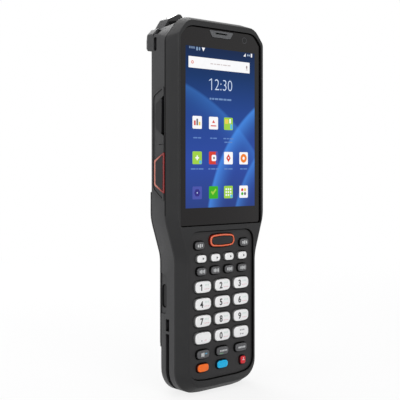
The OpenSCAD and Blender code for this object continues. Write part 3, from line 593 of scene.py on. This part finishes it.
def key_cap(name):
    """A key as one closed moulding with a crowned top. Returns what its printed marks lie on."""
    x, z, w, h = key_box(name)
    r = RADIUS.get(name.split("_")[0], OTHER_RADIUS)
    foot = barrel(x, z, w, h, r, -FLANGE)
    rings = [(foot, SOLE), (foot, FOOT), (barrel(x, z, w, h, r, 0), FOOT)]
    share = 1.0 if h > LOW_KEY else LOW_DOME
    rings += [(barrel(x, z, w, h, r, shrink * share), KEY_TOP + deep) for shrink, deep in DOME]
    verts, faces = lofted(rings)
    cap = piece(name + "_cap", verts, faces, MATS[slot_of[name]], name)
    soften(cap, 0)
    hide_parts(name)
    return BVHTree.FromPolygons(verts, faces)


# ---- flat shapes, as points in x and z and the faces between them ----

def glyph(text, x, z, size, squeeze, weight):
    """A line of figures centred on x, z."""
    curve = bpy.data.curves.new("glyph", "FONT")
    curve.body = text
    curve.size = size
    curve.offset = weight
    curve.resolution_u = 4
    curve.align_x = "CENTER"
    o = bpy.data.objects.new("glyph", curve)
    mesh = bpy.data.meshes.new_from_object(o)
    middle = (min(v.co.y for v in mesh.vertices) + max(v.co.y for v in mesh.vertices)) / 2
    points = [(x + v.co.x * squeeze, z + v.co.y - middle) for v in mesh.vertices]
    faces = [tuple(p.vertices) for p in mesh.polygons]
    bpy.data.objects.remove(o)
    bpy.data.meshes.remove(mesh)
    return points, faces


FIGURE_TALL, FIGURE_STROKE = 0.72, 0.085   # shares of the figures' size
ONE_AT, REST_AT = -0.84, 0.27              # where a one and what follows it stand from the middle
FLAG_REACH, FLAG_FALL, FLAG_ROOT = 0.2, 0.16, 1.3   # of a one, as shares of size, of height and of stroke


def figures(text, x, z, size, squeeze, weight):
    """Figures as glyphs, with a flagged one in the place of the font's plain stroke."""
    if not text.startswith("1"):
        return [glyph(text, x, z, size, squeeze, weight)]
    tall, stroke = size * FIGURE_TALL, size * FIGURE_STROKE + 2 * weight
    shapes, at = [], x
    if text != "1":
        shapes.append(glyph(text[1:], x + size * REST_AT * squeeze, z, size, squeeze, weight))
        at += size * ONE_AT * squeeze
    left, right, top = at - stroke / 2, at + stroke / 2, z + tall / 2
    tip, fallen = left - size * FLAG_REACH * squeeze, top - tall * FLAG_FALL
    shapes.append(poly((left, z - tall / 2), (right, z - tall / 2), (right, top), (left, top), (tip, fallen),
                       (tip, fallen - stroke), (left, top - stroke * FLAG_ROOT)))
    return shapes


def poly(*points):
    """A shape with straight edges."""
    return list(points), [tuple(range(len(points)))]


def bar(x, z, w, h, r=0.1):
    """A bar with rounded corners."""
    return poly(*rounded(x, z, w, h, r, 3))


def bars(x, z, w, h, step, count, r=0.2):
    """A row of equal bars centred on x, z."""
    return [bar(x + (k - (count - 1) / 2) * step, z, w, h, r) for k in range(count)]


def disc(x, z, r, steps=24):
    """A round shape, or with few steps, a regular polygon."""
    turns = [t * math.tau / steps for t in range(steps)]
    return poly(*[(x + r * math.cos(t), z + r * math.sin(t)) for t in turns])


def ring(x, z, r, hole, steps=24):
    """A disc with a round hole."""
    outer, inner = disc(x, z, r, steps)[0], disc(x, z, hole, steps)[0]
    faces = [(i, (i + 1) % steps, steps + (i + 1) % steps, steps + i) for i in range(steps)]
    return outer + inner, faces


# ---- marks ----

GRID = 0.6            # how finely marks are cut to follow a dome
RAY_FROM = 10         # how far in front of the rim the search for the dome starts
INK_THICK = 0.02


def follow(bm, surface):
    """Cuts flat shapes finely and lays them on a surface."""
    bmesh.ops.triangulate(bm, faces=bm.faces)
    for axis in (Vector((1, 0, 0)), Vector((0, 0, 1))):
        places = [v.co.dot(axis) / MM for v in bm.verts]
        at = min(places) + GRID
        while at < max(places):
            bmesh.ops.bisect_plane(bm, geom=bm.verts[:] + bm.edges[:] + bm.faces[:],
                                   plane_co=axis * at * MM, plane_no=axis)
            at += GRID
    for v in bm.verts:
        hit = surface.ray_cast(Vector((v.co.x, FRONT - RAY_FROM * MM, v.co.z)), Vector((0, 1, 0)))[0]
        if hit:
            v.co.y = hit.y


def marks(name, shapes, depth, material, body="housing", thick=INK_THICK, on=None):
    """Thin solid marks at one depth, or following the surface they lie on."""
    bm = bmesh.new()
    for points, faces in shapes:
        verts = [bm.verts.new((x * MM, FRONT + depth * MM, z * MM)) for x, z in points]
        for face in faces:
            bm.faces.new([verts[i] for i in face])
    if on:
        follow(bm, on)
    bmesh.ops.recalc_face_normals(bm, faces=bm.faces)
    solid = bmesh.ops.extrude_face_region(bm, geom=bm.faces[:])
    moved = [v for v in solid["geom"] if isinstance(v, bmesh.types.BMVert)]
    bmesh.ops.translate(bm, verts=moved, vec=(0, -thick * MM, 0))
    bmesh.ops.recalc_face_normals(bm, faces=bm.faces)
    mesh = bpy.data.meshes.new(name)
    bm.to_mesh(mesh)
    bm.free()
    placed(name, mesh, material, body)


INKS = {"dark": (24, 24, 26), "grey": (150, 150, 152), "pink": (234, 202, 207), "mint": (214, 230, 224),
        "light": (206, 208, 208), "green": (120, 170, 130), "blue": (96, 160, 190)}
INK = {name: printed("ink_" + name, lin(*colour)) for name, colour in INKS.items()}
DIGIT_X, SMALL_X = -1.5, 2.2      # where a number key's figure and small marks stand from its middle
DIGIT_SIZE, DIGIT_SQUEEZE, DIGIT_WEIGHT = 4.9, 0.92, 0.13
DASHES_WIDE, DASH_SHARE = 0.6, 0.62   # a row of dashes as a share of the key, and a dash of its step


def print_on(key, on, ink, shapes, kind="marks"):
    """Prints shapes in one ink on a key's top."""
    marks(kind + "_" + key, shapes, 0, INK[ink], key, on=on)


def number_marks(key, on):
    """A figure, with two rows of small marks beside it."""
    x, z = key_box(key)[:2]
    figure = figures(key[4:], x + DIGIT_X, z - 0.1, DIGIT_SIZE, DIGIT_SQUEEZE, DIGIT_WEIGHT)
    print_on(key, on, "dark", figure, "digit")
    print_on(key, on, "mint", bars(x + SMALL_X, z + 1.05, 0.62, 1.0, 1.05, 3), "upper_marks")
    print_on(key, on, "pink", bars(x + SMALL_X, z - 1.15, 0.95, 0.5, 1.25, 3, 0.15), "lower_marks")


def dash_marks(key, on, ink, runs, height):
    """A row of upright dashes of two heights in turn."""
    x, z, w = key_box(key)[:3]
    step = w * DASHES_WIDE / runs
    shapes = []
    for k in range(runs):
        tall = height * (0.75 + 0.25 * (k % 2))
        shapes.append(bar(x + (k - (runs - 1) / 2) * step, z, step * DASH_SHARE, tall, 0.15))
    print_on(key, on, ink, shapes)


for key in KEYS:
    on = key_cap(key)
    x, z = key_box(key)[:2]
    if key.startswith("key_") and key[4:].isdigit():
        number_marks(key, on)
    elif key == "key_point":
        print_on(key, on, "grey", [bar(x - 1.4, z - 1.3, 0.8, 0.8, 0.4)])
        print_on(key, on, "pink", [bar(x + 1.4, z - 1.2, 1.9, 0.45)], "small_marks")
    elif key == "key_shift":
        low = [bar(x - 0.9, z - 1.1, 0.8, 0.9, 0.3), bar(x + 0.8, z - 1.2, 1.4, 0.5, 0.2)]
        print_on(key, on, "grey", bars(x + 0.4, z + 1.0, 0.9, 0.75, 1.3, 3) + low)
    elif key.startswith("soft_key"):
        print_on(key, on, "dark", [poly((x + 0.3, z - 0.75), (x + 1.5, z), (x + 0.3, z + 0.75))])
    elif key.startswith("control_key"):
        dash_marks(key, on, "light", 4, 2.0)
    elif key.startswith("function_key"):
        dash_marks(key, on, "light", 3, 2.0)
    elif key == "menu_key":
        print_on(key, on, "light", [bar(x - 1.2, z - 0.1, 1.0, 1.9, 0.2), bar(x, z - 0.1, 0.9, 2.1, 0.2)])
        print_on(key, on, "blue", [bar(x + 1.8, z + 0.3, 1.5, 0.7, 0.2)], "small_marks")
    elif key == "home_key":
        print_on(key, on, "light", bars(x + 0.4, z + 0.1, 0.8, 0.9, 1.1, 5))
        print_on(key, on, "green", [bar(x - 1.2, z - 1.3, 3.0, 0.35)], "small_marks")
    elif key == "back_key":
        print_on(key, on, "light", bars(x + 0.2, z, 0.8, 1.0, 1.1, 5))
    elif key == "power_key":
        print_on(key, on, "pink", [bar(x, z + 0.1, 1.7, 0.5, 0.2), bar(x, z + 1.0, 0.5, 1.0, 0.2)])


# ---- the lit screen ----

SCREEN_W, SCREEN_H, SCREEN_LOW = 52.3, 87.1, 101.05
GLASS = 1.0                    # depth of the cover glass's face
FIRST, LAYER = 0.002, 0.012    # how proud of it the lowest shapes stand, and the step from layer to layer
LIGHT_THICK = 0.01
SCREEN_GLOSS = 0.12
SWEEP_EDGE = 0.8               # half the width over which a sweep's outer edge blurs
# Arcs of light: centre, radius, width and strength
SWEEPS = [((75, 86), 86, 14, 0.75), ((80, 80), 72, 11, 0.55), ((-66, 52), 122, 16, 0.3)]
SWEEP_COLOUR = (74, 150, 244)
# The wallpaper's colours from its foot to its top
BLUES = [(0.0, (38, 62, 132)), (0.28, (40, 72, 160)), (0.6, (28, 66, 140)), (0.82, (10, 50, 104)),
         (1.0, (6, 34, 74))]


def sweep(nodes, links, x, z, centre, radius, width):
    """Light along a wide arc: bright at the arc itself and fading on its inner side."""
    dx = node_math(nodes, links, "SUBTRACT", x, centre[0] * MM)
    dz = node_math(nodes, links, "SUBTRACT", z, centre[1] * MM)
    square = node_math(nodes, links, "ADD", node_math(nodes, links, "MULTIPLY", dx, dx),
                       node_math(nodes, links, "MULTIPLY", dz, dz))
    inside = node_math(nodes, links, "SUBTRACT", radius * MM, node_math(nodes, links, "SQRT", square))
    fade = spread(nodes, links, inside, 0, width * MM, (1, 0))
    edge = spread(nodes, links, inside, -SWEEP_EDGE * MM, SWEEP_EDGE * MM)
    return node_math(nodes, links, "MULTIPLY", node_math(nodes, links, "MULTIPLY", fade, fade), edge)


def wallpaper():
    """Blue wallpaper with sweeps of light: dark at the top, violet-blue at the foot."""
    m, nodes, links, shader = new_material("wallpaper")
    place = nodes.new("ShaderNodeSeparateXYZ")
    links.new(nodes.new("ShaderNodeTexCoord").outputs["Object"], place.inputs[0])
    height = spread(nodes, links, place.outputs["Z"], SCREEN_LOW * MM, (SCREEN_LOW + SCREEN_H) * MM)
    colour = ramp(nodes, links, height, [(at, lin(*blue)) for at, blue in BLUES])
    for centre, radius, width, strength in SWEEPS:
        light = sweep(nodes, links, place.outputs["X"], place.outputs["Z"], centre, radius, width)
        share = node_math(nodes, links, "MULTIPLY", light, strength)
        colour = mixed(nodes, links, colour, lin(*SWEEP_COLOUR), share)
    links.new(colour, shader.inputs["Emission Color"])
    shader.inputs["Emission Strength"].default_value = 1.0
    shader.inputs["Base Color"].default_value = (0, 0, 0, 1)
    shader.inputs["Roughness"].default_value = 0.1
    shader.inputs["Specular IOR Level"].default_value = SCREEN_GLOSS
    return m


LIT = {}


def lit(r, g, b):
    """The screen's light of one colour."""
    key = (r, g, b)
    if key not in LIT:
        LIT[key] = printed("screen_%02x%02x%02x" % key, lin(*key), 1.0, 0.1, SCREEN_GLOSS)
    return LIT[key]


def on_glass(name, shapes, material, proud=FIRST):
    """Flat shapes just proud of the cover glass."""
    marks(name, shapes, GLASS - proud, material, thick=LIGHT_THICK)


def on_screen(name, shapes, colour, layer):
    """Lit shapes on one of the screen's layers."""
    on_glass(name, shapes, lit(*colour), layer * LAYER)


WHITE, PALE, SLATE = (250, 250, 252), (176, 196, 226), (110, 112, 118)
RED, ORANGE, YELLOW = (216, 62, 48), (240, 128, 44), (236, 206, 84)
LIME, FRESH, CYAN = (160, 210, 70), (60, 176, 30), (90, 190, 226)
INDIGO, DEEP = (74, 84, 170), (50, 46, 130)

on_glass("screen_wallpaper", [bar(0, SCREEN_LOW + SCREEN_H / 2, SCREEN_W, SCREEN_H, 0.05)], wallpaper())

TILE, TILE_SHARE, TILE_ROUND = 6.9, 0.98, 0.6    # height, width as a share of it, and corners
COLUMNS = (-17.9, -5.9, 5.4, 17.3)
ROW_A, ROW_B, DOCK = 147.2, 128.1, 109.2


def tile(name, column, row, back, inner):
    """A screen tile with coloured shapes on it, each colour on a layer of its own."""
    x = COLUMNS[column]
    on_screen("tile_" + name, [bar(x, row, TILE * TILE_SHARE, TILE, TILE_ROUND)], back, 2)
    for n, (colour, shapes) in enumerate(inner):
        moved = [([(x + px, row + pz) for px, pz in points], faces) for points, faces in shapes]
        on_screen("tile_%s_%d" % (name, n), moved, colour, 3 + n)


CORNER = (CYAN, [bar(2.3, -2.3, 1.7, 1.7, 0.3)])      # a small square in a tile's lower right corner

tile("columns", 0, ROW_A, WHITE, [
    (RED, [bar(-1.7, -0.3, 1.2, 2.6, 0.2)]),
    (SLATE, [bar(0, 0.2, 1.2, 3.6, 0.2)]),
    (YELLOW, [bar(1.7, -0.6, 1.2, 2.0, 0.2)])])
tile("peaks", 1, ROW_A, WHITE, [
    (RED, [poly((-1.1, 0.1), (1.1, 0.1), (0, 1.7)), bar(0, -1.5, 4.2, 0.6, 0.1)])])
tile("notes", 2, ROW_A, LIME, [
    (YELLOW, [bar(-1.4, 1.2, 2.6, 2.6, 0.4)]),
    (WHITE, [bar(1.3, 1.5, 1.2, 2.4, 0.3)]),
    (CYAN, [bar(2.2, -1.6, 1.6, 2.8, 0.3)])])

tile("plus", 0, ROW_B, LIME, [(WHITE, [bar(0, 0, 2.6, 0.8, 0.2), bar(0, 0, 0.8, 2.6, 0.2)]), CORNER])
tile("frame", 1, ROW_B, RED, [
    (INDIGO, [bar(2.5, 0, 1.7, 6.7, 0.5)]),
    (WHITE, [bar(0.3, 0, 3.4, 3.4, 0.8)]),
    (SLATE, [bar(0.3, 0, 1.2, 1.2, 0.2)])])
tile("gem", 2, ROW_B, WHITE, [
    (RED, [poly((0, -2.3), (1.7, 0), (0, 2.3), (-1.7, 0))]),
    (WHITE, [disc(0, 0.1, 0.5)])])
tile("dial", 3, ROW_B, WHITE, [(ORANGE, [ring(0, 0, 2.5, 0.9)])])

tile("hex", 0, DOCK, INDIGO, [(DEEP, [disc(0, 0, 2.2, 6)]), (PALE, [disc(0, 0, 0.45)])])
tile("tick", 1, DOCK, FRESH, [
    (LIME, [poly((-2, 0.2), (-1.2, 0.9), (-0.5, 0.1), (1.5, 2.1), (2.2, 1.4), (-0.5, -1.4))])])
tile("grid", 2, DOCK, LIME, [
    (WHITE, [bar(a, b, 1.0, 1.0, 0.2) for a in (-1.7, 0, 1.7) for b in (1.6, 0, -1.6)]),
    CORNER])
tile("dots", 3, DOCK, WHITE, [
    (RED, [disc(-1.1, 1.1, 0.9)]),
    (YELLOW, [disc(1.1, 1.1, 0.9)]),
    (FRESH, [disc(-1.1, -1.1, 0.9)]),
    (SLATE, [disc(1.1, -1.1, 0.9)])])


def dashes(name, x, z, widths, height, colour, gap=0.45, layer=2):
    """A centred row of short dashes, such as a caption too small to read."""
    at = x - (sum(widths) + gap * (len(widths) - 1)) / 2
    shapes = []
    for w in widths:
        shapes.append(bar(at + w / 2, z, w, height, 0.2))
        at += w + gap
    on_screen(name, shapes, colour, layer)


CAPTION, CAPTION_H = (96, 132, 196), 0.7
CAPTIONS_A = ((3.0, 2.2), (1.8, 2.8), (2.2, 1.6, 3.0))      # widths of the dashes under each tile
CAPTIONS_B = ((3.4, 1.2, 3.6), (1.6, 3.2, 2.0), (2.6, 3.4), (2.2, 3.0))
for column, widths in enumerate(CAPTIONS_A):
    dashes("caption_a%d" % column, COLUMNS[column], ROW_A - 8.3, widths, CAPTION_H, CAPTION)
dashes("caption_a2_low", COLUMNS[2], ROW_A - 10.3, (2.4, 3.2), CAPTION_H, CAPTION)
for column, widths in enumerate(CAPTIONS_B):
    dashes("caption_b%d" % column, COLUMNS[column], ROW_B - 6.0, widths, CAPTION_H, CAPTION)
dashes("caption_date", -0.6, 160.5, (1.4, 1.6, 2.6, 3.0, 2.4, 3.2), 1.0, (110, 142, 190))

BAR_X, BAR_Z, BAR_W, BAR_H = -1.0, 179.5, 46.2, 6.1
on_screen("search_bar", [bar(BAR_X, BAR_Z, BAR_W, BAR_H, 0.3)], WHITE, 2)
on_screen("search_bar_mark", [ring(BAR_X - 20.3, BAR_Z, 0.9, 0.45)], (226, 128, 116), 3)
dashes("search_bar_line", BAR_X + 0.4, BAR_Z + 0.1, (2.2, 1.4, 2.8, 1.0, 3.0, 2.4), 0.55, (206, 196, 196),
       gap=0.5, layer=3)
BAR_END = [bar(BAR_X + 20.8, BAR_Z + 0.3, 0.9, 1.7, 0.4), bar(BAR_X + 20.8, BAR_Z - 1.2, 1.3, 0.35)]
on_screen("search_bar_end", BAR_END, (140, 116, 116), 3)
on_screen("clock", figures("12:30", -0.5, 168.4, 8.8, 0.92, -0.12), (206, 222, 246), 2)

STATUS_Z = 186.8
dashes("status_left", -21.6, STATUS_Z + 0.5, (0.9, 0.6, 0.9, 0.5), 1.2, (120, 142, 172), 0.4)
STATUS_BARS = [bar(-18.0, STATUS_Z + 0.1, 1.2, 1.9, 0.3), bar(-16.2, STATUS_Z + 0.2, 1.0, 1.7, 0.3)]
on_screen("status_marks", STATUS_BARS, (132, 160, 190), 2)
on_screen("status_signal", [poly((-14.6, STATUS_Z + 1.1), (-13.4, STATUS_Z - 1.0), (-12.2, STATUS_Z + 1.1)),
                            poly((17.2, STATUS_Z - 1.0), (19.0, STATUS_Z - 1.0), (19.0, STATUS_Z + 0.9)),
                            bar(23.6, STATUS_Z, 1.1, 2.1, 0.25)], WHITE, 2)
dashes("status_right", 21.2, STATUS_Z - 0.1, (0.8, 0.8), 1.0, (170, 190, 214), 0.4)

# ---- windows in the black print over the screen ----

LENS_X, LENS_Z, LENS_R, RIM_R = 18.0, 194.8, 1.5, 1.75
SENSOR_BESIDE, SENSOR_R = 3.6, 0.9
WINDOW = printed("window_black", lin(10, 10, 11), rough=0.08)
on_glass("front_camera_window", [disc(LENS_X, LENS_Z, LENS_R)], WINDOW)
on_glass("light_sensor_window", [disc(LENS_X - SENSOR_BESIDE, LENS_Z, SENSOR_R)], WINDOW)
on_glass("front_camera_rim", [ring(LENS_X, LENS_Z, RIM_R, LENS_R)], printed("window_rim", lin(70, 70, 74)))


# ---- stage ----

NEAR, FAR, SHADED = 0.22, 0.7, 0.82      # the floor's share of plain white: SHADED to NEAR, all from FAR on
FLOOR_SIZE, FLOOR_Z = 8, -0.0003
PURE_WHITE = (1, 1, 1, 1)
FLOOR_GREY, SKY_GREY = (0.85, 0.85, 0.85, 1), (0.34, 0.34, 0.345, 1)


def backdrop():
    """White floor: white to the camera and in reflections, and it still takes the object's shadow near by."""
    m, nodes, links, shader = new_material("backdrop")
    shader.inputs["Base Color"].default_value = FLOOR_GREY
    shader.inputs["Roughness"].default_value = 0.9
    shader.inputs["Specular IOR Level"].default_value = 0.1
    white = nodes.new("ShaderNodeEmission")
    white.inputs["Color"].default_value = PURE_WHITE
    away = nodes.new("ShaderNodeVectorMath")
    away.operation = "LENGTH"
    links.new(nodes.new("ShaderNodeTexCoord").outputs["Object"], away.inputs[0])
    share = spread(nodes, links, away.outputs["Value"], NEAR, FAR, (SHADED, 1), "SMOOTHSTEP")
    blend = nodes.new("ShaderNodeMixShader")
    links.new(node_math(nodes, links, "MULTIPLY", seen_directly(nodes, links), share), blend.inputs[0])
    links.new(shader.outputs[0], blend.inputs[1])
    links.new(white.outputs[0], blend.inputs[2])
    links.new(blend.outputs[0], nodes["Material Output"].inputs["Surface"])
    return m


bpy.ops.mesh.primitive_plane_add(size=FLOOR_SIZE, location=(0, 0, FLOOR_Z))
floor = bpy.context.object
floor.name = "floor"
paint(floor, backdrop())

MIDDLE = (0, 0, 0.1)


def soft_box(name, place, size, watts):
    """A rectangular lamp turned towards the object's middle."""
    data = bpy.data.lights.new(name, "AREA")
    data.shape = "RECTANGLE"
    data.size, data.size_y = size
    data.energy = watts
    o = bpy.data.objects.new(name, data)
    o.location = place
    o.rotation_euler = (Vector(MIDDLE) - Vector(place)).to_track_quat("-Z", "Y").to_euler()
    bpy.context.scene.collection.objects.link(o)


soft_box("front_box", (-0.3, -1.0, 0.6), (0.8, 0.8), 5)
soft_box("left_box", (-1.0, 0.0, 0.4), (0.6, 0.9), 2.5)
soft_box("top_box", (-0.1, 0.05, 1.1), (0.9, 0.7), 3.5)
soft_box("back_box", (0.35, 0.85, 0.75), (0.7, 0.7), 7)


def studio():
    """A world of even grey light, which is white to the camera and in reflections."""
    world = bpy.data.worlds.new("studio")
    world.use_nodes = True
    nodes, links = world.node_tree.nodes, world.node_tree.links
    sky = nodes["Background"]
    sky.inputs["Strength"].default_value = 1.0
    links.new(mixed(nodes, links, SKY_GREY, PURE_WHITE, seen_directly(nodes, links)), sky.inputs["Color"])
    return world


bpy.context.scene.world = studio()

# ---- camera ----

FOCAL_PIXELS, FRAME_PIXELS, SENSOR_MM = 854, 400, 36
CAMERA_AT, CAMERA_TURN, CAMERA_SHIFT = (-0.3241, -0.3571, 0.1226), 41.9, -0.08
camera_data = bpy.data.cameras.new("camera")
camera_data.sensor_width = SENSOR_MM
camera_data.lens = SENSOR_MM * FOCAL_PIXELS / FRAME_PIXELS
camera_data.shift_y = CAMERA_SHIFT
camera_data.clip_start = 0.01
camera = bpy.data.objects.new("camera", camera_data)
camera.location = CAMERA_AT
camera.rotation_euler = (math.radians(90), 0, math.radians(-CAMERA_TURN))
bpy.context.scene.collection.objects.link(camera)
bpy.context.scene.camera = camera
bpy.context.scene.view_settings.view_transform = "Standard"
